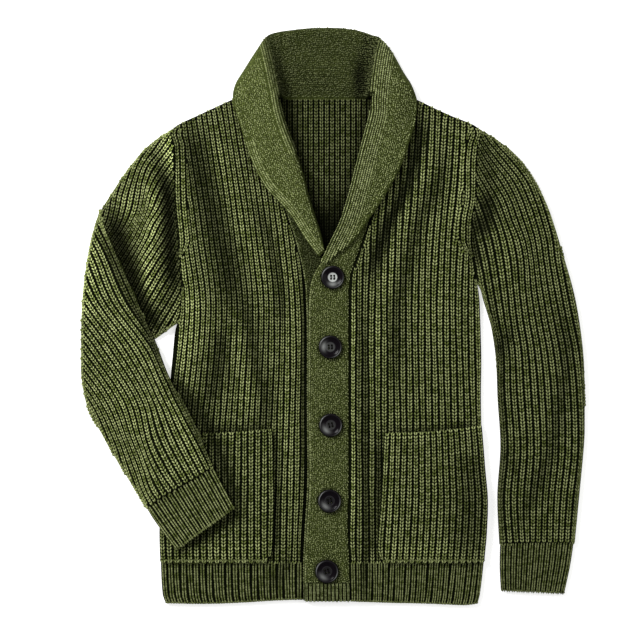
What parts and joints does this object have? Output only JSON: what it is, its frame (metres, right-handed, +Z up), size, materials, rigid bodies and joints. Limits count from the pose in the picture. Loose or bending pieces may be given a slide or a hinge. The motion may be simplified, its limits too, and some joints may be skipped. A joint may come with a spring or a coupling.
{
  "type": "shawl collar cardigan",
  "caption": "Chunky rib knit shawl collar cardigan with patch pockets, buttoned and laid flat on its back, one sleeve straight and one bent at the elbow over the front.",
  "frame": {"origin": "centre of the laid garment's outline, on the surface that it lies on", "axes": "+X towards the wearer's left, +Y from the hem towards the collar, +Z up from the surface"},
  "size_m": [0.6568, 0.7506, 0.0293],
  "materials": {
    "rib_knit_wool": "matte",
    "dense_knit_wool": "matte",
    "dark_horn": "polished"
  },
  "bodies": {
    "root": {"back": "rib_knit_wool", "hem_back": "rib_knit_wool", "front_right": "rib_knit_wool", "front_left": "rib_knit_wool", "hem_front_right": "rib_knit_wool", "hem_front_left": "rib_knit_wool", "pocket_right": "rib_knit_wool", "pocket_left": "rib_knit_wool", "sleeve_right": "rib_knit_wool", "sleeve_left": "rib_knit_wool", "cuff_right": "rib_knit_wool", "cuff_left": "rib_knit_wool", "button_band": "dense_knit_wool", "buttonhole_band": "dense_knit_wool", "collar": "dense_knit_wool", "button_1": "dark_horn", "button_2": "dark_horn", "button_3": "dark_horn", "button_4": "dark_horn", "button_5": "dark_horn"}
  },
  "joints": []
}
